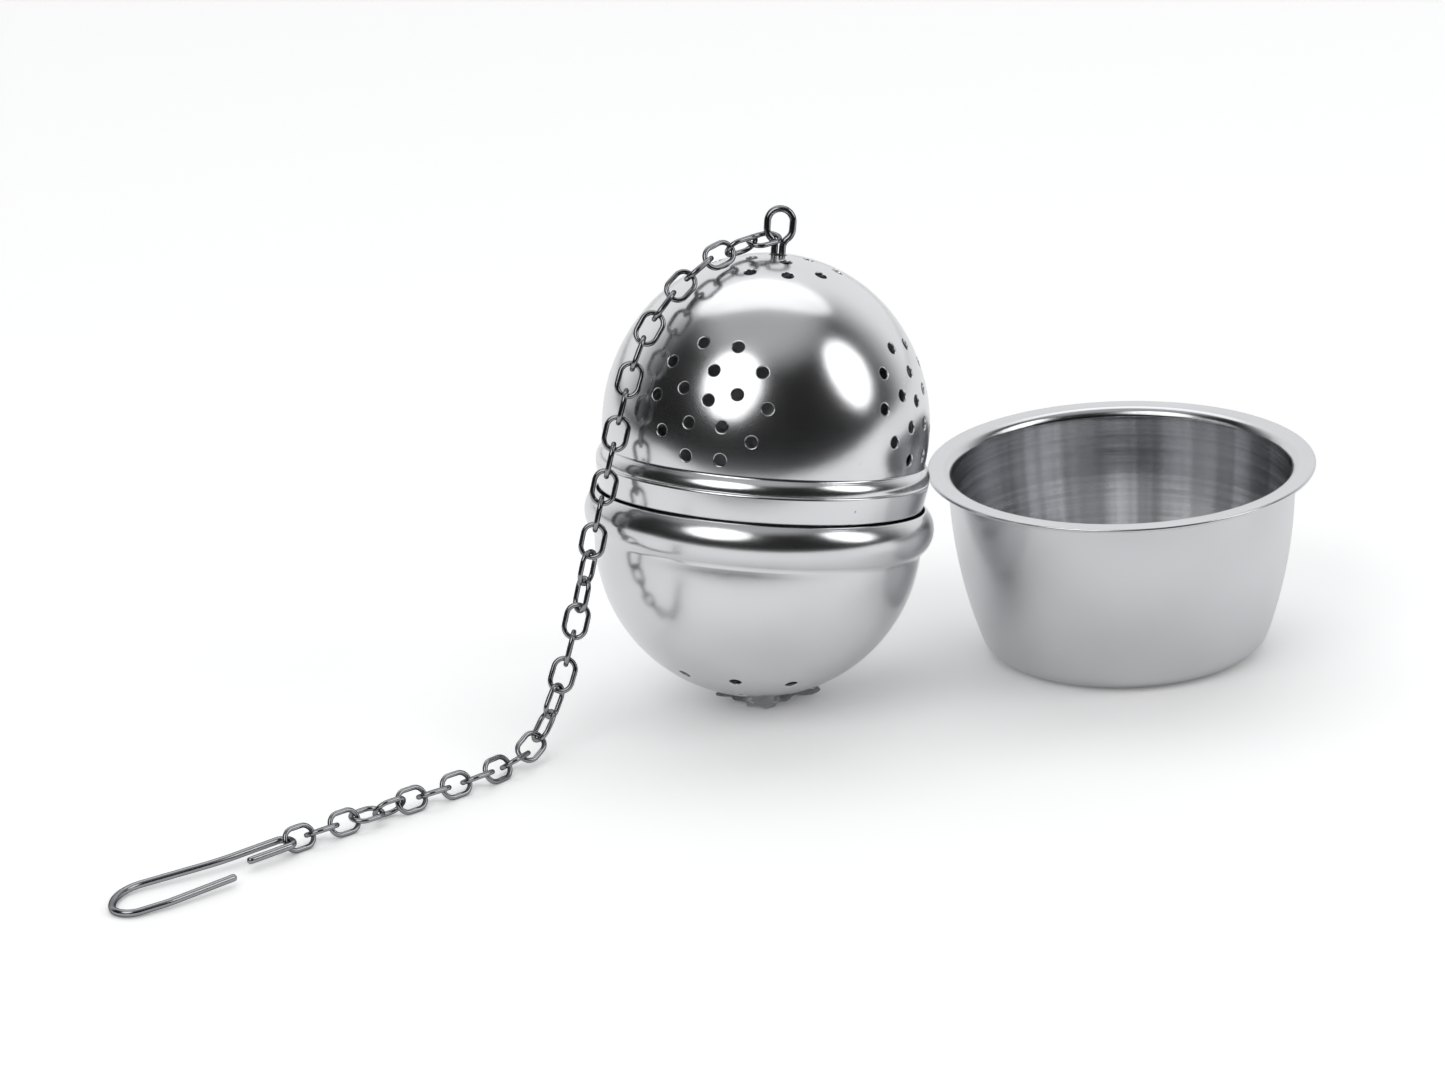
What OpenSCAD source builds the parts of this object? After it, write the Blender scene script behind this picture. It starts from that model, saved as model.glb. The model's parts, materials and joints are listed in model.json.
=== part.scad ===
// Tea infuser: a perforated egg in two shells on a chain with a hook, and its drip cup.
// The origin is the centre of the cup's base, on the table. X runs from the egg to the cup,
// Y away from the open side of the chain, Z up. All sizes are in mm.

/* [Egg] */
// Outside diameter of the egg at its widest plain part
egg_d = 40; // [36:0.5:44]
// Thickness of the sheet of both shells
sheet = 0.4; // [0.35:0.05:0.5]
// How far the pole of the upper shell stands above the centre of the lower one
pole_height = 34.5; // [33.5:0.5:35.5]
// Diameter of each strainer hole
hole_d = 1.5; // [1.2:0.1:1.7]
// Angle between the middle of a hole group and its inner ring
inner_ring = 10.5; // [10:0.1:11]
// Angle between the middle of a hole group and its outer ring
outer_ring = 21.1; // [20.5:0.1:21.6]
// How far the egg leans to the right
lean_right = 6.5; // [5:0.1:8]
// How far the egg leans back
lean_back = 9.9; // [8:0.1:11]

/* [Hanger and chain] */
// Wire diameter of the hanger eye
eye_wire = 0.85; // [0.75:0.05:0.9]
// Wire diameter of the chain links
link_wire = 0.62; // [0.5:0.02:0.64]
// Outside width of a link
link_w = 3.25; // [3.1:0.05:3.4]
// Outside length of a link
link_l = 4.68; // [4.66:0.01:4.74]
// Distance between one joint of the chain and the next
pitch = 3.36; // [3.34:0.01:3.36]

/* [Hook] */
// Wire diameter of the hook
hook_wire = 0.9; // [0.8:0.05:0.95]
// Length of the straight part of the hook's long leg
hook_run = 8.0; // [7:0.2:11]
// Radius of the hook's wide bend
hook_bend = 6.3; // [5.6:0.1:6.6]
// Radius of the hook's tight bend
hook_tip = 2.2; // [1.8:0.1:2.4]

/* [Cup] */
// Diameter of the cup's body just under its lip
cup_d = 42.8; // [40:0.5:45]
// Diameter of the lip
lip_d = 48; // [47:0.5:50]
// Height of the cup
cup_h = 23.8; // [23:0.2:25]
// Thickness of the cup's sheet
cup_sheet = 0.5; // [0.4:0.05:0.6]

/* [Hidden] */
$fn = 64;
links = 34;
tiny = 0.01;
function two(i) = str(i < 10 ? "0" : "", i);

// Where the egg stands, and the centre of its lower shell
egg_r = egg_d / 2;
egg_foot = [-45.2, -11.4, 0.8];
egg_middle = egg_foot + [0, 0, egg_r];
egg_turn = [-lean_back, lean_right, 0];

// The rim of the lower shell is its outward bead; the upper shell has a flatter one above it
rim_top = 4.4;
bead_r = 3.5;
bead_z = 1.9;
bead_x = egg_r + 1.4 - bead_r;
shoulder_z = 8.3;
shoulder_r = 2;
shoulder_x = egg_r + 0.45 - shoulder_r;
band_r = 18;
skirt_r = egg_r - 0.45;
skirt_end = 0.4;
upper_start = rim_top + 0.15;

// The dome: a wide arc at the side and a tighter one over the top
side_inset = 2;
side_z = 13.5;
side_r = egg_r + side_inset;
cap_rise = (pole_height - side_z) - side_r;
cap_z = side_z + (side_inset * side_inset - cap_rise * cap_rise) / (-2 * cap_rise);
cap_r = pole_height - cap_z;
cap_join = side_z + side_r * (cap_z - side_z) / (side_r - cap_r);
eye_hole_d = 2.3;
group_z = 13.8;

// A band of a 2D shape between two heights, right of the axis
module band(z0, z1) {
    intersection() {
        children();
        translate([0, z0])
            square([60, z1 - z0]);
    }
}

module disc(x, z, r) {
    translate([x, z])
        circle(r);
}

// The half outline of the dome, drawn in by the given thickness
module dome_outline(inset) {
    band(shoulder_z, cap_join)
        disc(-side_inset, side_z, side_r - inset);
    band(cap_join, 60)
        disc(0, cap_z, cap_r - inset);
    band(shoulder_z, cap_z)
        disc(shoulder_x, shoulder_z, shoulder_r - inset);
    band(upper_start + inset, shoulder_z + tiny)
        disc(egg_r + 0.45 - band_r, shoulder_z, band_r - inset);
}

module upper_outline() {
    difference() {
        union() {
            dome_outline(0);
            translate([0, skirt_end])
                square([skirt_r, upper_start]);
        }
        dome_outline(sheet);
        translate([0, skirt_end - 1])
            square([skirt_r - sheet, upper_start + 2]);
    }
}

module lower_outline() {
    difference() {
        union() {
            band(-egg_r - 1, 0)
                disc(0, 0, egg_r);
            band(bead_z - bead_r, rim_top)
                disc(bead_x, bead_z, bead_r);
            square([egg_r, rim_top]);
        }
        band(-egg_r, tiny)
            disc(0, 0, egg_r - sheet);
        band(bead_z - bead_r, rim_top + tiny)
            disc(bead_x, bead_z, bead_r - sheet);
        translate([0, -tiny])
            square([bead_x + 1.8, rim_top + 1]);
    }
}

// Everything drawn in the egg's own frame is set into the leaning egg here
module on_egg() {
    translate(egg_middle)
        rotate(egg_turn)
            children();
}

// One drill along Z from the centre of a shell
module drill(reach) {
    translate([0, 0, reach - 3])
        cylinder(d = hole_d, h = 6);
}

// A ring of drills at one angle from the group's middle
module drill_ring(count, angle, start, reach) {
    for (k = [0 : count - 1])
        rotate([0, 0, start + k * 360 / count])
            rotate([0, angle, 0])
                drill(reach);
}

// A hole with two rings round it, on one side of the dome
module side_group(azimuth) {
    rotate([0, 0, azimuth - 90])
        rotate([0, 75.5, 0]) {
            drill(egg_r);
            drill_ring(5, inner_ring, 180, egg_r);
            drill_ring(10, outer_ring, 198, egg_r);
        }
}

module upper_shell() {
    color("Silver")
        on_egg()
            difference() {
                rotate_extrude($fn = 128)
                    upper_outline();
                translate([0, 0, group_z]) {
                    for (k = [0 : 3])
                        side_group(-24 + 90 * k);
                    drill_ring(5, inner_ring, -77, egg_r);
                    drill_ring(10, outer_ring, -82, egg_r);
                }
                translate([0, 0, pole_height - 3])
                    cylinder(d = eye_hole_d, h = 6);
            }
}

module lower_shell() {
    color("Gainsboro")
        on_egg()
            difference() {
                rotate_extrude($fn = 128)
                    lower_outline();
                mirror([0, 0, 1]) {
                    drill(egg_r);
                    drill_ring(5, 17, -100, egg_r);
                    drill_ring(10, 34, -100, egg_r);
                }
            }
}

// Wire bent in the XY plane. Each step is a straight length, then a bend's radius and
// angle, left if positive. The line holds x, y and heading at each of its points.
bend_step = 10;
function next_bend(p, r, angle) =
    let(n = ceil(abs(angle) / bend_step), side = sign(angle) * r)
    [for (k = [1 : n]) let(h = p[2] + angle * k / n)
        [p[0] + side * (sin(h) - sin(p[2])), p[1] - side * (cos(h) - cos(p[2])), h]];
function next_straight(p, ahead) =
    ahead > 0 ? [[p[0] + ahead * cos(p[2]), p[1] + ahead * sin(p[2]), p[2]]] : [];
function bent_line(steps, from, i = 0) = i == len(steps) ? [] :
    let(a = next_straight(from, steps[i][0]), p = len(a) > 0 ? a[0] : from,
        b = steps[i][1] > 0 ? next_bend(p, steps[i][1], steps[i][2]) : [],
        q = len(b) > 0 ? b[len(b) - 1] : p)
    concat(a, b, bent_line(steps, q, i + 1));

// Round wire along such a line
wire_sides = 20;
module bent_wire(line, d) {
    last = len(line) - 1;
    function at(i, j) = i * wire_sides + j % wire_sides;
    polyhedron(
        points = [for (p = line, j = [0 : wire_sides - 1])
            let(a = 360 * j / wire_sides, out = d / 2 * cos(a))
            [p[0] - sin(p[2]) * out, p[1] + cos(p[2]) * out, d / 2 * sin(a)]],
        faces = concat(
            [[for (j = [0 : wire_sides - 1]) at(0, j)]],
            [[for (j = [wire_sides - 1 : -1 : 0]) at(last, j)]],
            [for (i = [0 : last - 1], j = [0 : wire_sides - 1])
                [at(i, j), at(i + 1, j), at(i + 1, j + 1), at(i, j + 1)]]));
}

// The eye: a tall loop whose two legs pinch in, go through the pole and spread inside
loop_r = 1.55;
loop_side = 0.9;
neck_r = 1.4;
neck_x = eye_wire / 2 + 0.06;
pinch = acos((neck_x + neck_r) / (loop_r + neck_r));
loop_top = [0, pole_height + 5.6, 0];
eye_half = bent_line([[0, loop_r, -90], [loop_side, loop_r, -pinch], [0, neck_r, pinch],
    [1.5, 0.7, 60], [1.5, 0, 0]], loop_top);
eye_line = concat([for (i = [len(eye_half) - 1 : -1 : 0])
    [-eye_half[i][0], eye_half[i][1], -eye_half[i][2]]], [loop_top], eye_half);
module hanger_eye() {
    color("DarkGray")
        on_egg()
            rotate([90, 0, 0])
                bent_wire(eye_line, eye_wire);
}

// The chain's route: from the eye's left leg over the egg's shoulder, down past the rims,
// then along the table towards the front left. The points are measured from the egg's foot.
route = [for (p = [
    [3.6, 6.4, 56.7],
    [-3.6, 1.5, 56.15],
    [-9.1, -3.2, 53.0],
    [-12.9, -6.6, 48.5],
    [-15.2, -8.9, 42.8],
    [-16.9, -9.9, 36.8],
    [-18.7, -10.9, 30.1],
    [-20.4, -12.0, 23.4],
    [-22.9, -13.8, 13.8],
    [-25.3, -16.0, 6.8],
    [-28.6, -20.6, 1.9],
    [-33.6, -27.0, 1.5],
    [-43.2, -35.0, 1.5],
    [-49.6, -40.2, 1.5],
    [-58.5, -47.6, 1.5]]) p + [egg_foot[0], egg_foot[1], 0]];

// A smooth curve through the points, sampled finely
samples = 12;
function knot(i) = route[min(max(i, 0), len(route) - 1)];
function smooth(a, b, c, d, u) = (2 * b + (c - a) * u + (2 * a - 5 * b + 4 * c - d) * u * u
    + (3 * b - a - 3 * c + d) * u * u * u) / 2;
curve = [for (i = [0 : len(route) - 2], k = [0 : samples - 1])
    smooth(knot(i - 1), knot(i), knot(i + 1), knot(i + 2), k / samples)];

// The joints of the chain: points on the curve that stand one pitch apart
function far_piece(p, k) =
    k + 2 >= len(curve) || norm(curve[k + 1] - p) >= pitch ? k : far_piece(p, k + 1);
function at_pitch(p, a, b) =
    let(u = b - a, w = a - p, m = w * u)
    a + u * (sqrt(m * m - (u * u) * (w * w - pitch * pitch)) - m) / (u * u);
function walk(n, p, k) = n == 0 ? [] :
    let(j = far_piece(p, k), q = at_pitch(p, curve[j], curve[j + 1]))
    concat([q], walk(n - 1, q, j));
joints = concat([curve[0]], walk(links, curve[0], 0));

// How each link is rolled about the chain: a quarter turn from one to the next, and
// three places where the chain twists by a quarter turn over three links
function twisted(i, from) = min(max(i - from, 0), 3) * 30;
function roll(i) = 90 * (i - 3) + 28 * max(3 - i, 0) + twisted(i, 15) + twisted(i, 20)
    + twisted(i, 29);
facing = [0, -0.94, 0.34];
function unit(v) = v / norm(v);
function run_of(i) = unit(joints[i] - joints[i - 1]);
function flat_of(i) =
    let(t = run_of(i), b = unit(facing - (facing * t) * t))
    cos(roll(i)) * b + sin(roll(i)) * cross(t, b);

// The oval loop of one link about the origin, along X
module link_loop() {
    r = (link_w - link_wire) / 2;
    side = link_l - link_w;
    for (s = [0, 180])
        rotate([0, 0, s])
            translate([-side / 2, 0, 0]) {
                translate([0, -r, 0])
                    rotate([0, 90, 0])
                        cylinder(d = link_wire, h = side);
                translate([side, 0, 0])
                    rotate([0, 0, -90])
                        rotate_extrude(angle = 180)
                            translate([r, 0])
                                circle(d = link_wire);
            }
}

module chain_link(i) {
    t = run_of(i);
    n = flat_of(i);
    s = cross(n, t);
    middle = (joints[i] + joints[i - 1]) / 2;
    color("LightGray")
        multmatrix([
            [t[0], s[0], n[0], middle[0]],
            [t[1], s[1], n[1], middle[1]],
            [t[2], s[2], n[2], middle[2]],
            [0, 0, 0, 1]])
            link_loop();
}

// The hook lies on the table: a short end, a small eye round the last link, a long leg
// that curves a little, a wide bend that ends in a tight one, and a free leg
small_r = 1.25;
short_end = 5.5;
hook_heading = 217;
crown_rest = (link_l - pitch) / 2 - link_wire - hook_wire / 2 - 0.05;
hook_crown = joints[links] + crown_rest * run_of(links);
hook_dip = asin((hook_crown[2] - hook_wire / 2 - 0.04) / (hook_run + 17.5));
hook_start = [small_r + short_end, small_r, 180];
hook_line = concat([hook_start], bent_line([[short_end, small_r, 180], [6, 30, -8],
    [hook_run, hook_bend, 70], [0, hook_tip, 112], [3, 12, 8], [8.5, 0, 0]], hook_start));
module hook() {
    color("DarkGray")
        translate(hook_crown)
            rotate([0, hook_dip, hook_heading])
                bent_wire(hook_line, hook_wire);
}

// The cup: a flat base, a round corner, a barrel wall and a flat lip turned outwards
wall_r = 60;
corner_r = 3.5;
lip_bend = 0.8;
lip_start = cup_h - cup_sheet - lip_bend;
wall_x = cup_d / 2 - wall_r;
corner_x = wall_x
    + sqrt(pow(wall_r - corner_r, 2) - pow(lip_start - corner_r, 2));
corner_top = lip_start - wall_r * (lip_start - corner_r) / (wall_r - corner_r);
module cup_outline(inset) {
    band(corner_top, lip_start + tiny)
        disc(wall_x, lip_start, wall_r - inset);
    disc(corner_x, corner_r, corner_r - inset);
    translate([0, inset])
        square([corner_x, corner_r]);
}

module lip_outline() {
    bend_x = cup_d / 2 + lip_bend;
    intersection() {
        difference() {
            disc(bend_x, lip_start, lip_bend + cup_sheet);
            disc(bend_x, lip_start, lip_bend);
        }
        translate([cup_d / 2 - cup_sheet, lip_start])
            square([lip_bend + cup_sheet + tiny, lip_bend + cup_sheet]);
    }
    translate([bend_x, cup_h - cup_sheet])
        square([lip_d / 2 - cup_sheet / 2 - bend_x, cup_sheet]);
    disc(lip_d / 2 - cup_sheet / 2, cup_h - cup_sheet / 2, cup_sheet / 2);
}

module drip_cup() {
    color("WhiteSmoke")
        rotate_extrude($fn = 128) {
            difference() {
                cup_outline(0);
                cup_outline(cup_sheet);
            }
            lip_outline();
        }
}

drip_cup();
lower_shell();
upper_shell();
hanger_eye();
hook();
for (i = [1 : links])
    chain_link(i);
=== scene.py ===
import json
import math

import bmesh
import bpy
import numpy as np
from mathutils import Matrix, Vector, geometry


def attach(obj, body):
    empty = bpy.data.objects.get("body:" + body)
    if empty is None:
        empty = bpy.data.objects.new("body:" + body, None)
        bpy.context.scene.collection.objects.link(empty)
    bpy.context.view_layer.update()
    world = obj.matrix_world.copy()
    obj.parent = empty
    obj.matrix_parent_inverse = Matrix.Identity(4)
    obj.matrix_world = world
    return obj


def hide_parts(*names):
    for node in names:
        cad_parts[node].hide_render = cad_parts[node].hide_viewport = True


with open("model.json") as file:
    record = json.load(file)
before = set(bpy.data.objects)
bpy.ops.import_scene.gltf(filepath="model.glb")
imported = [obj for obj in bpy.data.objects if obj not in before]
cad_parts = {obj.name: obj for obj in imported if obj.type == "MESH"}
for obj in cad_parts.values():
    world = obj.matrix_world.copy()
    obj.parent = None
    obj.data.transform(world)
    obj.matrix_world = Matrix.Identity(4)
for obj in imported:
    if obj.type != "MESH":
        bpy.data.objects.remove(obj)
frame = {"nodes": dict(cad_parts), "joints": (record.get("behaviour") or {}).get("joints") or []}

MM = 0.001
rng = np.random.default_rng(7)
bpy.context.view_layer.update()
joints = {j["name"]: j for j in frame["joints"]}
scene = bpy.context.scene

# ---------------------------------------------------------------- camera

CAMERA_AT = Vector((-0.0496, -0.9312, 0.3520))
CAMERA_PITCH = 19.864
CAMERA_ROLL = -2.461
CAMERA_LENS = 199.3


def make_camera():
    pitch, roll = math.radians(CAMERA_PITCH), math.radians(CAMERA_ROLL)
    ahead = Vector((0, math.cos(pitch), -math.sin(pitch)))
    up = Vector((0, math.sin(pitch), math.cos(pitch)))
    side = Vector((1, 0, 0))
    right = math.cos(roll) * side + math.sin(roll) * up
    up = math.cos(roll) * up - math.sin(roll) * side
    data = bpy.data.cameras.new("camera")
    data.lens = CAMERA_LENS
    data.sensor_width = 36
    data.clip_start, data.clip_end = 0.05, 20
    cam = bpy.data.objects.new("camera", data)
    scene.collection.objects.link(cam)
    cam.matrix_world = Matrix.Translation(CAMERA_AT) @ Matrix(
        (right, up, -ahead)).transposed().to_4x4()
    scene.camera = cam


make_camera()

# ---------------------------------------------------------------- mesh helpers


def mesh_object(name, points, faces, normals=None, slots=None):
    """A smooth mesh in the row frame from points in metres, with exact normals if given."""
    mesh = bpy.data.meshes.new(name)
    mesh.from_pydata([tuple(p) for p in points], [], faces)
    mesh.polygons.foreach_set("use_smooth", [True] * len(mesh.polygons))
    if slots is not None:
        mesh.polygons.foreach_set("material_index", slots)
    mesh.update()
    if normals is not None:
        mesh.normals_split_custom_set_from_vertices([tuple(n) for n in normals])
    obj = bpy.data.objects.new(name, mesh)
    scene.collection.objects.link(obj)
    return obj


def stands_for(obj, node, slot, *materials):
    """The detailed mesh takes a CAD node's place and moves with its body."""
    for m in materials:
        obj.data.materials.append(m)
    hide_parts(node)
    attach(obj, node)
    return obj


def arc(cx, cz, r, a0, a1, step=3.0):
    n = max(2, int(abs(a1 - a0) / step) + 2)
    a = np.radians(np.linspace(a0, a1, n))
    return np.c_[cx + r * np.cos(a), cz + r * np.sin(a)]


def bezier(p0, p1, p2, n=7):
    t = np.linspace(0, 1, n)[:, None]
    p0, p1, p2 = (np.array(p, float) for p in (p0, p1, p2))
    return (1 - t) ** 2 * p0 + 2 * t * (1 - t) * p1 + t ** 2 * p2


def line(p0, p1, step=0.6):
    p0, p1 = np.array(p0, float), np.array(p1, float)
    n = max(2, int(np.linalg.norm(p1 - p0) / step) + 2)
    return p0 + (p1 - p0) * np.linspace(0, 1, n)[:, None]


def join(*pieces):
    """One outline from several, with the repeated points at the joins left out."""
    out = [pieces[0][0]]
    for piece in pieces:
        for p in piece:
            if np.linalg.norm(p - out[-1]) > 1e-4:
                out.append(p)
    return np.array(out)


def outline_normals(path):
    """Normals of an outline (r, z), on the left of its direction of travel turned outwards."""
    seg = np.diff(path, axis=0)
    seg /= np.linalg.norm(seg, axis=1)[:, None]
    t = np.vstack([seg[:1], seg[:-1] + seg[1:], seg[-1:]])
    t /= np.linalg.norm(t, axis=1)[:, None]
    return np.c_[-t[:, 1], t[:, 0]]


def spin(path, normals, count):
    """Rows of points and normals of an outline turned about Z."""
    phi = np.linspace(0, 2 * math.pi, count, endpoint=False)
    c, s = np.cos(phi), np.sin(phi)
    pts = np.stack([np.outer(path[:, 0], c), np.outer(path[:, 0], s),
                    np.outer(path[:, 1], np.ones(count))], -1)
    nrm = np.stack([np.outer(normals[:, 0], c), np.outer(normals[:, 0], s),
                    np.outer(normals[:, 1], np.ones(count))], -1)
    return pts, nrm


def strip_faces(rows, closed=True):
    """Quads between rows of vertex numbers."""
    out = []
    for a, b in zip(rows[:-1], rows[1:]):
        n = len(a)
        for k in range(n if closed else n - 1):
            m = (k + 1) % n
            out.append((int(a[k]), int(a[m]), int(b[m]), int(b[k])))
    return out


def facing(points, normals, faces):
    """The faces turned so that each agrees with its vertices' normals."""
    out = []
    for f in faces:
        p = points[list(f)]
        n = np.cross(p[1] - p[0], p[2] - p[0])
        if len(f) == 4:
            n = n + np.cross(p[2] - p[0], p[3] - p[0])
        out.append(tuple(f) if n @ normals[list(f)].sum(0) > 0 else tuple(f[::-1]))
    return out


# ---------------------------------------------------------------- egg frame

swivel = joints["eye_swivel"]
AXIS = np.array(swivel["axis"])
POLE_HEIGHT = 34.5
SHEET = 0.4
EGG_X = np.array([AXIS[2], 0, -AXIS[0]])
EGG_X /= np.linalg.norm(EGG_X)
EGG_Y = np.cross(AXIS, EGG_X)
EGG_TURN = np.c_[EGG_X, EGG_Y, AXIS]
EGG_MIDDLE = np.array(swivel["pos_m"]) - AXIS * POLE_HEIGHT * MM


def from_egg(points):
    return EGG_MIDDLE + (np.asarray(points) * MM) @ EGG_TURN.T


def turn_egg(normals):
    return np.asarray(normals) @ EGG_TURN.T


def rot_y(deg):
    c, s = math.cos(math.radians(deg)), math.sin(math.radians(deg))
    return np.array([[c, 0, s], [0, 1, 0], [-s, 0, c]])


def rot_z(deg):
    c, s = math.cos(math.radians(deg)), math.sin(math.radians(deg))
    return np.array([[c, -s, 0], [s, c, 0], [0, 0, 1]])


UP = np.array([0, 0, 1.0])
HOLE_R = 0.75
LIP = 0.13               # width of the rounded edge round each hole
RIM_GAP = 0.28           # spacing between a hole's edge and the first ring of points
GROUP_TILT = 75.5        # angle of a side group from the pole
INNER_RING = 10.5
OUTER_RING = 21.1
DRAIN_INNER = 17
DRAIN_OUTER = 34
TWIST = 137.5            # turn from one row of surface points to the next


def ring_axes(turn, count, angle, start):
    return [turn @ rot_z(start + k * 360 / count) @ rot_y(angle) @ UP for k in range(count)]


class Cap:
    """The drilled part of a shell: how far along the surface from the pole, and back."""

    def __init__(self, arcs, centre):
        self.arcs, self.centre = arcs, centre
        self.starts, s = [], 0.0
        for cx, cz, r, a0, a1 in arcs:
            self.starts.append(s)
            s += r * abs(math.radians(a1 - a0))
        self.length = s

    def place(self, s):
        """Outline points and normals (r, z) at distances s from the pole."""
        s = np.asarray(s, float)
        p, n = np.zeros(s.shape + (2,)), np.zeros(s.shape + (2,))
        for (cx, cz, r, a0, a1), s0 in zip(self.arcs, self.starts):
            here = s >= s0 - 1e-9
            a = np.radians(a0) + np.sign(a1 - a0) * (s - s0) / r
            q = np.stack([np.cos(a), np.sin(a)], -1)
            p[here] = (np.array([cx, cz]) + r * q)[here]
            n[here] = q[here]
        return p, n

    def reach(self, pts):
        """Distance from the pole, signed gap to the surface and normal of 3D points."""
        r, z = np.hypot(pts[:, 0], pts[:, 1]), pts[:, 2]
        s, gap = np.zeros(len(pts)), np.zeros(len(pts))
        nrm = np.zeros((len(pts), 2))
        for (cx, cz, rad, a0, a1), s0 in zip(self.arcs, self.starts):
            a = np.arctan2(z - cz, r - cx)
            si = s0 + np.sign(a1 - a0) * (a - math.radians(a0)) * rad
            here = (si >= s0) | (s0 == 0)
            s[here] = si[here]
            gap[here] = (np.hypot(r - cx, z - cz) - rad)[here]
            nrm[here] = np.stack([np.cos(a), np.sin(a)], -1)[here]
        c = pts[:, :2] / np.maximum(r, 1e-9)[:, None]
        return s, gap, np.c_[nrm[:, :1] * c, nrm[:, 1]]

    def rim(self, axis, radius, count):
        """Points where a round drill of this radius meets the surface."""
        side = np.cross(axis, UP if abs(axis[2]) < 0.9 else np.array([1.0, 0, 0]))
        side /= np.linalg.norm(side)
        other = np.cross(axis, side)
        a = np.linspace(0, 2 * math.pi, count, endpoint=False)
        out = np.outer(np.cos(a), side) + np.outer(np.sin(a), other)
        t = np.full(count, 20.0)
        for _ in range(12):
            p = self.centre + radius * out + t[:, None] * axis
            s, gap, n = self.reach(p)
            t -= gap / (n @ axis)
        p = self.centre + radius * out + t[:, None] * axis
        s, gap, n = self.reach(p)
        return p, s, n, out


def drilled_shell(name, cap, axes, strip, columns=256, spacing=0.5, rim_count=28):
    """A closed shell: a drilled cap in two skins, and a strip of turned rows that joins them."""
    flat, pts, nrm, loops = [], [], [], []

    def add(p, s, n):
        phi = np.arctan2(p[:, 1], p[:, 0])
        first = len(pts)
        flat.extend(zip(s * np.cos(phi), s * np.sin(phi)))
        pts.extend(p)
        nrm.extend(n)
        return list(range(first, first + len(p)))

    edge_p, edge_n = cap.place(np.array([cap.length]))
    ep, en = spin(edge_p, edge_n, columns)
    boundary = add(ep[0], np.full(columns, cap.length), en[0])
    holes = []
    for axis, radius in axes:
        p, s, n, out = cap.rim(axis, radius + LIP, rim_count)
        loop = add(p, s, n)
        loops.append(loop)
        holes.append((axis, radius, loop, out))
        p, s, n, out = cap.rim(axis, radius + LIP + RIM_GAP, rim_count)
        keep = s < cap.length - 0.15
        for other_axis, other_radius in axes:
            if other_axis is not axis:
                d = np.linalg.norm(np.cross(p - cap.centre, other_axis), axis=1)
                front = (p - cap.centre) @ other_axis > 0
                keep &= ~(front & (d < other_radius + LIP + 0.2))
        add(p[keep], s[keep], n[keep])
    rows = int(cap.length / spacing)
    for i in range(1, rows):
        s = cap.length * i / rows
        p, n = cap.place(np.array([s]))
        count = max(6, int(2 * math.pi * p[0, 0] / spacing))
        q, m = spin(p, n, count)
        q, m = q[0] @ rot_z(TWIST * i).T, m[0] @ rot_z(TWIST * i).T
        keep = np.ones(count, bool)
        for axis, radius in axes:
            d = np.linalg.norm(np.cross(q - cap.centre, axis), axis=1)
            front = (q - cap.centre) @ axis > 0
            keep &= ~(front & (d < radius + LIP + 0.5))
        add(q[keep], np.full(keep.sum(), s), m[keep])
    edges = []
    for loop in [boundary, *loops]:
        edges += [(a, b) for a, b in zip(loop, loop[1:] + loop[:1])]
    found = geometry.delaunay_2d_cdt([Vector(p) for p in flat], edges, [], 0, 1e-5)
    origin = [o[0] for o in found[3]]
    owner = {v: i for i, loop in enumerate(loops) for v in loop}
    skin = []
    for f in found[2]:
        f = tuple(origin[v] for v in f)
        own = {owner.get(v, -1) for v in f}
        if len(own) == 1 and own != {-1}:
            continue
        skin.append(f)
    pts, nrm = np.array(pts), np.array(nrm)
    count = len(pts)
    all_p = [pts, pts - SHEET * nrm]
    all_n = [nrm, -nrm]
    faces = skin + [tuple(v + count for v in f) for f in skin]
    total = 2 * count
    for axis, radius, loop, out in holes:
        loop = np.array(loop)
        ring_rows = [loop]
        walls = [(0.06, 0.02, 0.6), (0.02, 0.06, 1.6), (0, 0.13, 9), (0, 0.28, 9)]
        for wider, depth, lean in walls:
            p, s, n, out = cap.rim(axis, radius + wider, rim_count)
            all_p.append(p - depth * axis)
            w = n - lean * out
            all_n.append(w / np.linalg.norm(w, axis=1)[:, None])
            ring_rows.append(np.arange(total, total + rim_count))
            total += rim_count
        ring_rows.append(loop + count)
        faces += strip_faces(ring_rows)
    strip_n = outline_normals(strip)
    if (strip_n[0] @ edge_n[0]) < 0:
        strip_n = -strip_n
    sp, sn = spin(strip, strip_n, columns)
    strip_rows = [np.array(boundary)]
    for i in range(1, len(strip) - 1):
        all_p.append(sp[i])
        all_n.append(sn[i])
        strip_rows.append(np.arange(total, total + columns))
        total += columns
    strip_rows.append(np.array(boundary) + count)
    faces += strip_faces(strip_rows)
    points, normals = np.vstack(all_p), np.vstack(all_n)
    faces = facing(points, normals, faces)
    return mesh_object(name, from_egg(points), faces, turn_egg(normals))


# Outlines of the two shells, in mm from the centre of the lower one
CAP_ANGLE = math.degrees(math.asin(0.6))
UPPER_END = -8.4
BEAD_X, BEAD_Z, BEAD_R = 17.9, 1.9, 3.5
upper_cap = Cap([(0, 15, 19.5, 90, CAP_ANGLE), (-2, 13.5, 22, CAP_ANGLE, UPPER_END)],
                np.array([0, 0, 13.8]))
lower_cap = Cap([(0, 0, 20, -90, -47)], np.zeros(3))


def upper_outline(inset):
    """From the drilled cap down over the flatter bead to the seam."""
    return join(
        arc(-2, 13.5, 22 - inset, UPPER_END, -9.0, 0.5),
        bezier((19.73 - inset, 10.05), (19.70 - inset, 9.86 - inset / 3),
               (19.92 - inset * 0.74, 9.66 - inset * 0.67)),
        arc(18.45, 8.3, 2 - inset, 42.5, -8, 4),
        arc(-24.13, 14.285, 45 - inset, -8, -12.23, 0.5))


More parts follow.
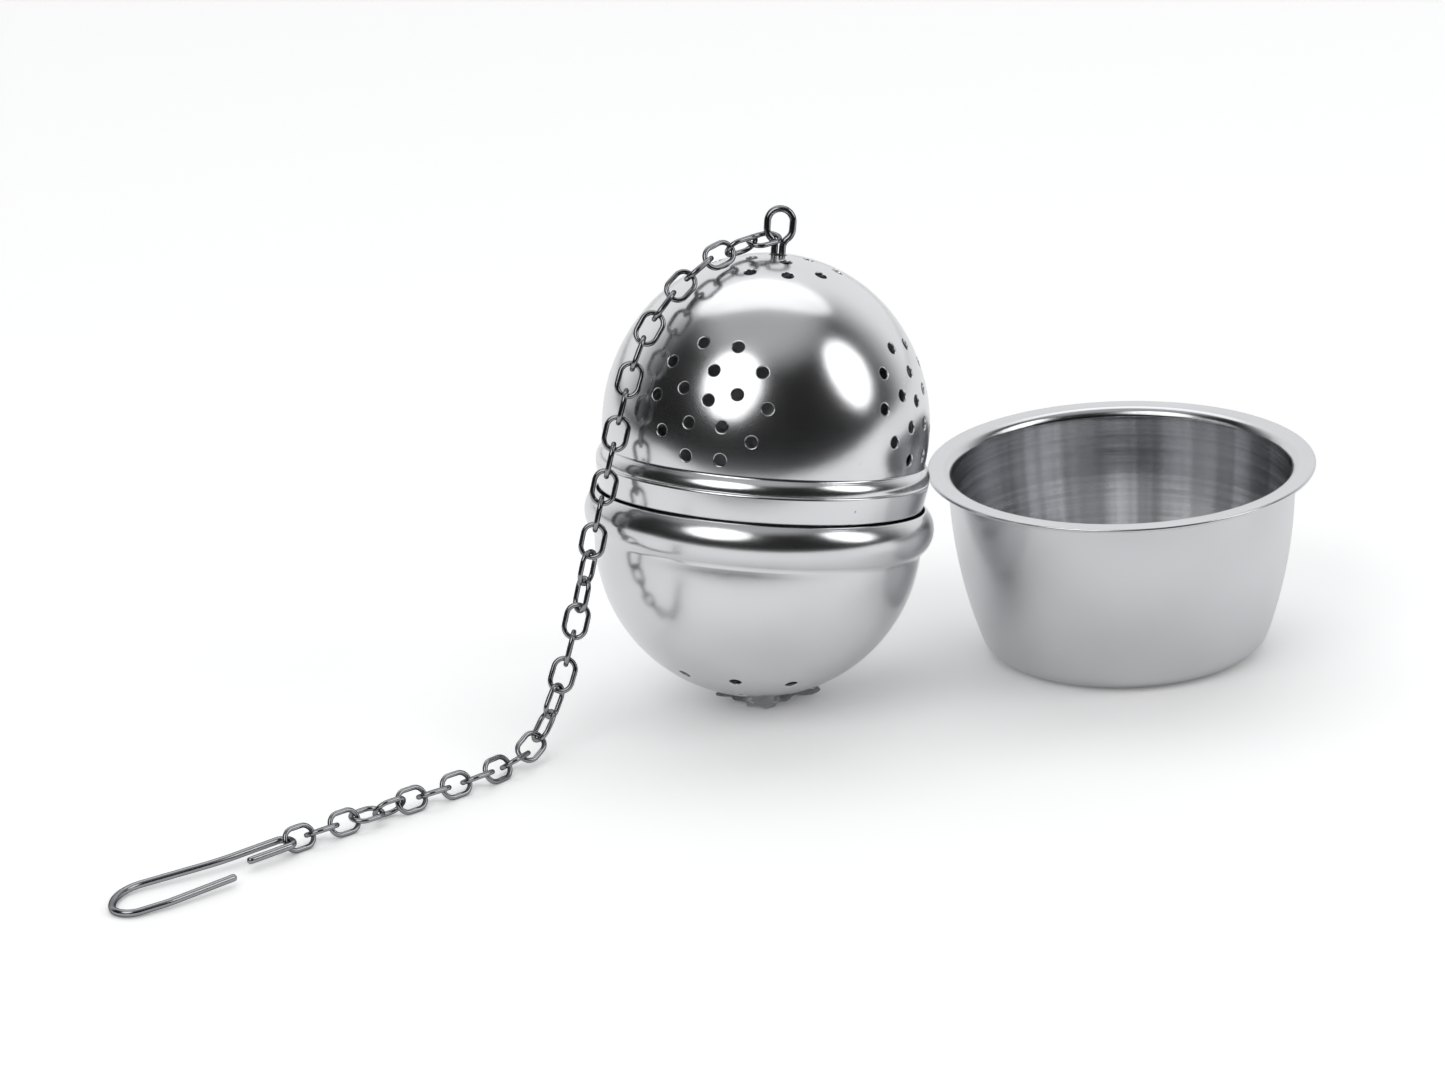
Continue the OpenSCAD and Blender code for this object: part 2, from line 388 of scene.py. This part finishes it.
def upper_strip():
    outer, inner = upper_outline(0), upper_outline(SHEET)
    return join(
        outer,
        bezier(outer[-1], (19.83, 4.57), (19.7, 4.56)),
        line((19.7, 4.56), (19.62, 4.55)),
        line((19.55, 4.48), (19.55, 0.5)),
        bezier((19.55, 0.5), (19.35, 0.3), (19.15, 0.5)),
        line((19.15, 0.5), (19.15, 4.5)),
        bezier((19.15, 4.5), (19.16, 4.9), inner[-1]),
        inner[::-1])


def lower_outline(inset):
    ball, bead = 20 - inset, BEAD_R - inset
    return join(
        arc(0, 0, ball, -47, -3.9, 1.5),
        bezier(arc(0, 0, ball, -3.9, -3.8)[0], (19.99 - inset, -0.93),
               arc(BEAD_X, BEAD_Z, bead, -47, -46)[0]),
        arc(BEAD_X, BEAD_Z, bead, -47, 41, 3))


def lower_strip():
    outer, inner = lower_outline(0), lower_outline(SHEET)
    return join(
        outer,
        bezier(outer[-1], (20.40, 4.42), (20.2, 4.42)),
        bezier((20.2, 4.42), (20.0, 4.42), inner[-1]),
        inner[::-1])


EYE_HOLE_R = 1.15
upper_axes = [(UP, EYE_HOLE_R)]
for k in range(4):
    turn = rot_z(-24 + 90 * k - 90) @ rot_y(GROUP_TILT)
    upper_axes += [(turn @ UP, HOLE_R)]
    upper_axes += [(a, HOLE_R) for a in ring_axes(turn, 5, INNER_RING, 180)]
    upper_axes += [(a, HOLE_R) for a in ring_axes(turn, 10, OUTER_RING, 198)]
upper_axes += [(a, HOLE_R) for a in ring_axes(np.eye(3), 5, INNER_RING, -77)]
upper_axes += [(a, HOLE_R) for a in ring_axes(np.eye(3), 10, OUTER_RING, -82)]
flip = np.diag([1.0, 1.0, -1.0])
lower_axes = [(-UP, HOLE_R)]
lower_axes += [(flip @ a, HOLE_R) for a in ring_axes(np.eye(3), 5, DRAIN_INNER, -100)]
lower_axes += [(flip @ a, HOLE_R) for a in ring_axes(np.eye(3), 10, DRAIN_OUTER, -100)]

# ---------------------------------------------------------------- wire


def wire_path(steps, at=(0.0, 0.0), heading=0.0):
    """Centre points of wire bent in a plane: straight length, bend radius, bend angle."""
    x, y, h = at[0], at[1], math.radians(heading)
    out = [(x, y)]
    for ahead, r, angle in steps:
        n = max(1, int(ahead / 0.35))
        for i in range(1, n + 1 if ahead > 0 else 0):
            out.append((x + ahead * i / n * math.cos(h), y + ahead * i / n * math.sin(h)))
        x, y = x + ahead * math.cos(h), y + ahead * math.sin(h)
        if r > 0:
            sign = 1 if angle > 0 else -1
            cx, cy = x - sign * r * math.sin(h), y + sign * r * math.cos(h)
            turn = math.radians(angle)
            n = max(2, int(abs(turn) * r / 0.2))
            for i in range(1, n + 1):
                a = h + turn * i / n
                out.append((cx + sign * r * math.sin(a), cy - sign * r * math.cos(a)))
            h += turn
            x, y = out[-1]
    return np.array(out)


def tube(name, centres, normal, radius, around=18, closed=False, widths=None):
    """Round wire along a path that lies in the plane with this normal, in metres."""
    c = np.asarray(centres, float)
    count = len(c)
    if closed:
        t = np.roll(c, -1, 0) - np.roll(c, 1, 0)
    else:
        t = np.vstack([c[1:2] - c[:1], c[2:] - c[:-2], c[-1:] - c[-2:-1]])
    t /= np.linalg.norm(t, axis=1)[:, None]
    normal = np.asarray(normal, float)
    normal = normal / np.linalg.norm(normal)
    side = np.cross(normal, t)
    radii = np.full(count, radius) if widths is None else radius * np.asarray(widths)
    if not closed:
        dome = np.radians([75, 55, 30])
        head = [(c[0] - t[0] * radius * 0.75 * math.sin(a), radii[0] * math.cos(a), 0)
                for a in dome]
        tail = [(c[-1] + t[-1] * radius * 0.75 * math.sin(a), radii[-1] * math.cos(a), -1)
                for a in dome[::-1]]
        c = np.vstack([[p[0] for p in head], c, [p[0] for p in tail]])
        radii = np.r_[[p[1] for p in head], radii, [p[1] for p in tail]]
        side = np.vstack([side[:1]] * 3 + [side] + [side[-1:]] * 3)
    a = np.linspace(0, 2 * math.pi, around, endpoint=False)
    ring = (np.cos(a)[None, :, None] * side[:, None, :]
            + np.sin(a)[None, :, None] * normal[None, None, :])
    pts = c[:, None, :] + radii[:, None, None] * ring
    rows = np.arange(len(c) * around).reshape(len(c), around)
    order = np.vstack([rows, rows[:1]]) if closed else rows
    faces = strip_faces(order)
    if not closed:
        faces += [tuple(int(v) for v in rows[0]), tuple(int(v) for v in rows[-1][::-1])]
    obj = mesh_object(name, pts.reshape(-1, 3), faces)
    bm = bmesh.new()
    bm.from_mesh(obj.data)
    bmesh.ops.recalc_face_normals(bm, faces=bm.faces)
    bm.to_mesh(obj.data)
    bm.free()
    return obj


# ---------------------------------------------------------------- materials


class Nodes:
    """Short ways to build a material's node tree."""

    def __init__(self, tree):
        self.tree = tree
        self.tree.nodes.clear()

    def add(self, kind, values=None, **props):
        n = self.tree.nodes.new(kind)
        for k, v in props.items():
            setattr(n, k, v)
        for k, v in (values or {}).items():
            if isinstance(v, bpy.types.NodeSocket):
                self.tree.links.new(v, n.inputs[k])
            else:
                n.inputs[k].default_value = v
        return n

    def noise(self, vector, scale, detail=3.0, rough=0.5):
        n = self.add("ShaderNodeTexNoise",
                     {"Vector": vector, "Scale": scale, "Detail": detail, "Roughness": rough})
        return n.outputs["Fac"]

    def math(self, op, a, b=0.0, clamp=False):
        n = self.add("ShaderNodeMath", {0: a, 1: b}, operation=op, use_clamp=clamp)
        return n.outputs[0]

    def span(self, value, low, high, to_low, to_high, smooth=False):
        kind = "SMOOTHSTEP" if smooth else "LINEAR"
        n = self.add("ShaderNodeMapRange",
                     {"Value": value, "From Min": low, "From Max": high, "To Min": to_low,
                      "To Max": to_high}, interpolation_type=kind)
        return n.outputs["Result"]


LIP_FROM, LIP_TO = 0.0207, 0.0214    # radii between which the cup's wall turns into its lip


def steel(name, tone, rough, vary, peel, peel_scale, turned=0.0, turned_scale=1400,
          aniso=0.0, specks=0.0, edge=1.0):
    """Steel with smudges in its gloss and a little orange peel.

    If turned is given, there are fine rings about Z, and the steel's tone varies in broad
    bands round the axis, except on the lip. These bands are painted reflections in the tone.
    """
    m = bpy.data.materials.new(name)
    m.use_nodes = True
    k = Nodes(m.node_tree)
    at = k.add("ShaderNodeTexCoord").outputs["Object"]
    smudge = k.noise(at, 90, 2)
    gloss = k.span(smudge, 0.2, 0.8, rough - vary, rough + vary, True)
    colour = k.add("ShaderNodeMix", {"Factor": k.span(smudge, 0.2, 0.8, 0, 1, True),
                                     6: (*[c * 0.94 for c in tone], 1),
                                     7: (*tone, 1)}, data_type="RGBA").outputs[2]
    height = k.math("MULTIPLY", k.noise(at, peel_scale, 2), peel)
    if specks:
        cells = k.add("ShaderNodeTexVoronoi", {"Vector": at, "Scale": 420.0}, feature="F1")
        dots = k.span(cells.outputs["Distance"], 0.04, 0.09, 1, 0)
        where = k.span(k.noise(at, 60, 2), 0.55, 0.7, 0, 1)
        speck = k.math("MULTIPLY", k.math("MULTIPLY", dots, where), specks)
        colour = k.add("ShaderNodeMix", {"Factor": speck, 6: colour,
                                         7: (0.25, 0.25, 0.26, 1)},
                       data_type="RGBA").outputs[2]
    if turned:
        xyz = k.add("ShaderNodeSeparateXYZ", {0: at})
        flat = k.add("ShaderNodeCombineXYZ", {0: xyz.outputs[0], 1: xyz.outputs[1]})
        radius = k.add("ShaderNodeVectorMath", {0: flat.outputs[0]},
                       operation="LENGTH").outputs["Value"]
        rings = k.add("ShaderNodeCombineXYZ", {0: radius, 2: xyz.outputs[2]}).outputs[0]
        lines = k.noise(rings, turned_scale, 1, 0.5)
        height = k.math("ADD", height, k.math("MULTIPLY", lines, turned))
        gloss = k.math("ADD", gloss, k.span(lines, 0.3, 0.7, -0.06, 0.06))
        # Painted reflections: broad bright and dark bands round the axis scale the tone, lip
        # left out
        way = k.add("ShaderNodeVectorMath", {0: flat.outputs[0]}, operation="NORMALIZE")
        painted_reflection_band = k.noise(way.outputs[0], 3.2, 3, 0.6)
        fine = k.span(lines, 0.35, 0.65, 0.8, 1.0, True)
        level = k.math("MULTIPLY", k.span(painted_reflection_band, 0.36, 0.62, 0.55, 1.35, True), fine)
        lip = k.span(radius, LIP_FROM, LIP_TO, 0, 1, True)
        level = k.math("ADD", k.math("MULTIPLY", level, k.math("SUBTRACT", 1.0, lip)), lip)
        # The tone is scaled by the painted reflection bands and by the fine rings
        colour = k.add("ShaderNodeVectorMath", {0: colour, 3: level},
                       operation="SCALE").outputs[0]
    bump = k.add("ShaderNodeBump", {"Height": height, "Strength": 1.0, "Distance": MM})
    shader = k.add("ShaderNodeBsdfPrincipled",
                   {"Base Color": colour, "Metallic": 1.0, "Roughness": gloss,
                    "Normal": bump.outputs[0]})
    shader.inputs["Specular Tint"].default_value = (edge, edge, edge, 1)
    if aniso:
        around = k.add("ShaderNodeTangent", direction_type="RADIAL", axis="Z")
        shader.inputs["Anisotropic"].default_value = aniso
        k.tree.links.new(around.outputs[0], shader.inputs["Tangent"])
    out = k.add("ShaderNodeOutputMaterial")
    k.tree.links.new(shader.outputs[0], out.inputs[0])
    return m


dome_steel = steel("dome_steel", (0.80, 0.805, 0.82), 0.2, 0.02, 0.015, 300, specks=0.8)
bowl_steel = steel("bowl_steel", (0.76, 0.765, 0.78), 0.22, 0.02, 0.02, 300)
wire_steel = steel("wire_steel", (0.36, 0.365, 0.38), 0.2, 0.03, 0.01, 900, edge=0.15)
chain_steel = steel("chain_steel", (0.33, 0.335, 0.35), 0.18, 0.04, 0.012, 900, edge=0.1)
cup_outside = steel("cup_outside", (0.68, 0.685, 0.70), 0.24, 0.03, 0.012, 400)
cup_inside = steel("cup_inside", (0.74, 0.745, 0.76), 0.2, 0.04, 0.004, 400, turned=0.005,
                   turned_scale=1400, aniso=0.8)

# ---------------------------------------------------------------- the pieces

upper = drilled_shell("upper_skin", upper_cap, upper_axes, upper_strip())
stands_for(upper, "upper_shell", "upper_steel", dome_steel)
lower = drilled_shell("lower_skin", lower_cap, lower_axes, lower_strip())
stands_for(lower, "lower_shell", "lower_steel", bowl_steel)


def make_cup():
    """The cup's closed outline, from the middle of its base out, over the lip and back in."""
    wall_x, wall_z, lip_z = -38.6, 22.5, 22.5
    corner_x, corner_end = 14.6095, -19.65
    outer = join(
        line((0.15, 0), (14.4, 0), 0.9),
        arc(corner_x, 3.5, 3.5, -90, corner_end, 5),
        arc(wall_x, wall_z, 60, corner_end, 0, 0.6),
        arc(22.2, lip_z, 0.8, 180, 90, 9),
        line((22.2, 23.3), (23.75, 23.3), 0.4),
        arc(23.75, 23.55, 0.25, -90, 90, 20))
    inner = join(
        line((23.75, 23.8), (22.2, 23.8), 0.4),
        arc(22.2, lip_z, 1.3, 90, 180, 9),
        arc(wall_x, wall_z, 59.5, 0, corner_end, 0.6),
        arc(corner_x, 3.5, 3.0, corner_end, -90, 5),
        line((14.4, 0.5), (0.15, 0.5), 0.9))
    path = join(outer, inner)
    normals = -outline_normals(path)
    columns = 256
    pts, nrm = spin(path, normals, columns)
    rows = np.arange(len(path) * columns).reshape(len(path), columns)
    faces = strip_faces(rows)
    faces += [tuple(int(v) for v in rows[0]), tuple(int(v) for v in rows[-1])]
    points, normals = pts.reshape(-1, 3), nrm.reshape(-1, 3)
    faces = facing(points, normals, faces)
    split = (len(outer) - 1) * columns
    slots = [1 if min(f) >= split else 0 for f in faces]
    cup = mesh_object("cup_skin", points * MM, faces, normals, slots)
    stands_for(cup, "drip_cup", "cup_steel", cup_outside, cup_inside)


make_cup()


def make_eye():
    """The tall loop above the pole, with its legs spread inside the dome."""
    wire, loop_r, neck_r = 0.85, 1.55, 1.4
    neck_x = wire / 2 + 0.06
    pinch = math.degrees(math.acos((neck_x + neck_r) / (loop_r + neck_r)))
    half = wire_path([(0, loop_r, -90), (0.9, loop_r, -pinch), (0, neck_r, pinch),
                      (1.5, 0.7, 60), (1.5, 0, 0)], (0, POLE_HEIGHT + 5.6))
    both = np.vstack([half[::-1] * [-1, 1], half[1:]])
    pts = from_egg(np.c_[both[:, 0], np.zeros(len(both)), both[:, 1]])
    eye = tube("eye_wire", pts, EGG_Y, wire / 2 * MM, 22)
    stands_for(eye, "hanger_eye", "wire_steel", wire_steel)


make_eye()


def plane_of(node):
    """Middle, long axis and normal of a flat oval link, from its CAD mesh."""
    mesh = frame["nodes"][node].data
    co = np.array([v.co for v in mesh.vertices])
    area, mid = [], []
    for p in mesh.polygons:
        area.append(p.area)
        mid.append(co[list(p.vertices)].mean(0))
    area, mid = np.array(area), np.array(mid)
    centre = (area[:, None] * mid).sum(0) / area.sum()
    d = mid - centre
    values, vectors = np.linalg.eigh((d * area[:, None]).T @ d)
    return centre, vectors[:, 2], vectors[:, 0]


LINK_WIRE, LINK_W, LINK_L, PITCH = 0.62, 3.25, 4.68, 3.36


def make_links():
    """The links, each in the plane of its CAD solid. Returns the last one's middle."""
    names = sorted(n for n in frame["nodes"] if n.startswith("link_"))
    frames = {n: plane_of(n) for n in names}
    r, side = (LINK_W - LINK_WIRE) / 2, LINK_L - LINK_W
    for i, n in enumerate(names):
        centre, along, normal = frames[n]
        ahead = frames[names[min(i + 1, len(names) - 1)]][0] - frames[names[max(i - 1, 0)]][0]
        if along @ ahead < 0:
            along = -along
        across = np.cross(normal, along)
        oval = wire_path([(side, r, 180), (side, r, 180)], (-side / 2, -r))[:-1]
        oval = oval * (1 + rng.normal(0, 0.004, 2))
        seam = oval[:, 0] ** 2 + (oval[:, 1] + r) ** 2 * 9
        widths = 1 + 0.05 * np.exp(-seam / 0.12)
        pts = centre + MM * (np.outer(oval[:, 0], along) + np.outer(oval[:, 1], across))
        link = tube(n + "_wire", pts, normal, LINK_WIRE / 2 * MM, 16, True, widths)
        stands_for(link, n, "chain_steel", chain_steel)
    return frames[names[-1]][0]


def make_hook():
    """The hook's path is laid out from the inside of the last link's crown."""
    wire, small_r, short_end, heading = 0.9, 1.25, 5.5, 217
    hook_run, hook_bend, hook_tip = 8.0, 6.3, 2.2
    last = make_links()
    pivot = np.array(joints["hook_swing"]["pos_m"])
    along = (pivot - last) / np.linalg.norm(pivot - last)
    rest = (LINK_L - PITCH) / 2 - LINK_WIRE - wire / 2 - 0.05
    crown = last + along * (PITCH / 2 + rest) * MM
    dip = math.degrees(math.asin((crown[2] / MM - wire / 2 - 0.04) / (hook_run + 17.5)))
    path = wire_path([(short_end, small_r, 180), (6, 30, -8), (hook_run, hook_bend, 70),
                      (0, hook_tip, 112), (3, 12, 8), (8.5, 0, 0)],
                     (small_r + short_end, small_r), 180)
    turn = rot_z(heading) @ rot_y(dip)
    pts = crown + MM * (np.c_[path, np.zeros(len(path))] @ turn.T)
    hook = tube("hook_wire", pts, turn[:, 2], wire / 2 * MM, 22)
    stands_for(hook, "hook", "wire_steel", wire_steel)


make_hook()

# ---------------------------------------------------------------- stage


def plain(name, colour, rough):
    """A material of one colour, with its node helper and shader, for the stage."""
    m = bpy.data.materials.new(name)
    m.use_nodes = True
    k = Nodes(m.node_tree)
    shader = k.add("ShaderNodeBsdfPrincipled", {"Base Color": (*colour, 1), "Roughness": rough})
    shader.inputs["Specular IOR Level"].default_value = 0.2
    out = k.add("ShaderNodeOutputMaterial")
    k.tree.links.new(shader.outputs[0], out.inputs[0])
    return m, k, shader


FLOOR_SIZE = 3.0
FLOOR_COLOUR = (0.9, 0.9, 0.905)
# Colour of the painted dark room that reflection rays see on the floor
FLOOR_DARK = (0.04, 0.04, 0.042)
GLOW_ALL, GLOW_SEEN = 0.27, 0.14     # glow for every ray, and what the camera sees on top


def make_floor():
    """A table that the camera sees as pale all over.

    To all other rays it is dark in front and at the left, so that the steel reflects a painted
    dark room there. It glows a little, which is painted light, and less where something stands
    close over it, which is a painted contact shadow.
    """
    size = FLOOR_SIZE
    pts = [(-size, -size, 0), (size, -size, 0), (size, size, 0), (-size, size, 0)]
    floor = mesh_object("floor", pts, [(0, 1, 2, 3)])
    m, k, shader = plain("floor_paper", FLOOR_COLOUR, 0.6)
    at = k.add("ShaderNodeTexCoord").outputs["Object"]
    xyz = k.add("ShaderNodeSeparateXYZ", {0: at})
    # Painted dark room: to all rays but the camera's, the floor is dark in front and at the left
    near = k.span(xyz.outputs[1], -0.17, -0.11, 1, 0)
    left = k.span(xyz.outputs[0], -0.60, -0.30, 1, 0)
    seen = k.add("ShaderNodeLightPath").outputs["Is Camera Ray"]
    dark = k.math("MULTIPLY", k.math("MAXIMUM", near, left), k.math("SUBTRACT", 1.0, seen))
    unoccluded_for_painted_shadow = k.add("ShaderNodeAmbientOcclusion", {"Distance": 0.03}).outputs["AO"]
    # Painted light: the floor glows outside its dark zone, and brighter to the camera
    glow = k.math("ADD", k.span(dark, 0.0, 1.0, GLOW_ALL, 0.0),
                  k.math("MULTIPLY", seen, GLOW_SEEN))
    # Painted contact shadow: the glow drops to a quarter where something stands within 3 cm
    glow_with_painted_shadow = k.math("MULTIPLY", glow, k.span(unoccluded_for_painted_shadow, 0.0, 1.0, 0.25, 1.0))
    k.tree.links.new(glow_with_painted_shadow, shader.inputs["Emission Strength"])
    m.cycles.emission_sampling = "NONE"
    shader.inputs["Emission Color"].default_value = (1, 1, 1, 1)
    colour = k.add("ShaderNodeMix", {"Factor": dark, 6: (*FLOOR_COLOUR, 1),
                                     7: (*FLOOR_DARK, 1)}, data_type="RGBA")
    k.tree.links.new(colour.outputs[2], shader.inputs["Base Color"])
    floor.data.materials.append(m)
    floor.location.z = -0.00002


def make_putty():
    """The small clear lump that keeps the egg upright for the picture."""
    bm = bmesh.new()
    bmesh.ops.create_icosphere(bm, subdivisions=4, radius=1)
    for v in bm.verts:
        d = v.co.normalized()
        wave = (0.16 * math.sin(5 * d.x + 2) + 0.12 * math.sin(7 * d.y + 3 * d.x)
                + 0.08 * math.sin(13 * d.x - 9 * d.y))
        r = 1 + wave
        v.co = Vector((d.x * 5.4 * r, d.y * 4.4 * r, max(-1, d.z * (1 + 2 * wave)) * 1.0))
    mesh = bpy.data.meshes.new("putty")
    bm.to_mesh(mesh)
    bm.free()
    mesh.polygons.foreach_set("use_smooth", [True] * len(mesh.polygons))
    lump = bpy.data.objects.new("putty", mesh)
    scene.collection.objects.link(lump)
    lump.location = (EGG_MIDDLE[0], EGG_MIDDLE[1] - 0.0012, 0.0009)
    lump.scale = (MM, MM, MM)
    m, k, shader = plain("putty_clear", (0.75, 0.76, 0.78), 0.12)
    shader.inputs["Transmission Weight"].default_value = 0.75
    shader.inputs["IOR"].default_value = 1.45
    lump.data.materials.append(m)


make_floor()
make_putty()


def soft_light(name, way, distance, wide, high, radiance):
    """An oval lamp that shines on the egg from this direction, at this radiance."""
    data = bpy.data.lights.new(name, "AREA")
    data.shape = "ELLIPSE"
    data.size, data.size_y = wide, high
    data.energy = radiance * math.pi * (math.pi * wide * high / 4)
    lamp = bpy.data.objects.new(name, data)
    scene.collection.objects.link(lamp)
    way = Vector(way).normalized()
    lamp.location = Vector(EGG_MIDDLE) + Vector((0, 0, 0.015)) + way * distance
    lamp.rotation_mode = "QUATERNION"
    lamp.rotation_quaternion = way.to_track_quat("Z", "Y")


soft_light("left_front", (-0.38, -0.65, 0.65), 0.75, 0.56, 0.60, 1.9)
soft_light("right", (0.85, -0.21, 0.50), 0.75, 0.40, 0.54, 2.0)
soft_light("overhead", (0.02, 0.40, 0.90), 0.9, 1.2, 0.5, 0.9)


def make_world():
    """A dark room on the near side and a white wall behind; the camera sees only white."""
    world = bpy.data.worlds.new("studio")
    world.use_nodes = True
    scene.world = world
    k = Nodes(world.node_tree)
    way = k.add("ShaderNodeTexCoord").outputs["Generated"]
    xyz = k.add("ShaderNodeSeparateXYZ", {0: way})
    wall = k.span(xyz.outputs[1], 0.1, 0.75, 0.015, 0.9, True)
    ceiling = k.span(xyz.outputs[2], 0.7, 0.95, 0.0, 0.45, True)
    level = k.math("MAXIMUM", wall, ceiling)
    seen = k.add("ShaderNodeLightPath").outputs["Is Camera Ray"]
    strength = k.math("MAXIMUM", level, seen)
    back = k.add("ShaderNodeBackground", {"Color": (0.98, 0.99, 1.0, 1), "Strength": strength})
    out = k.add("ShaderNodeOutputWorld")
    k.tree.links.new(back.outputs[0], out.inputs[0])


make_world()
scene.view_settings.view_transform = "Standard"
scene.view_settings.look = "None"
scene.view_settings.exposure = 0.0
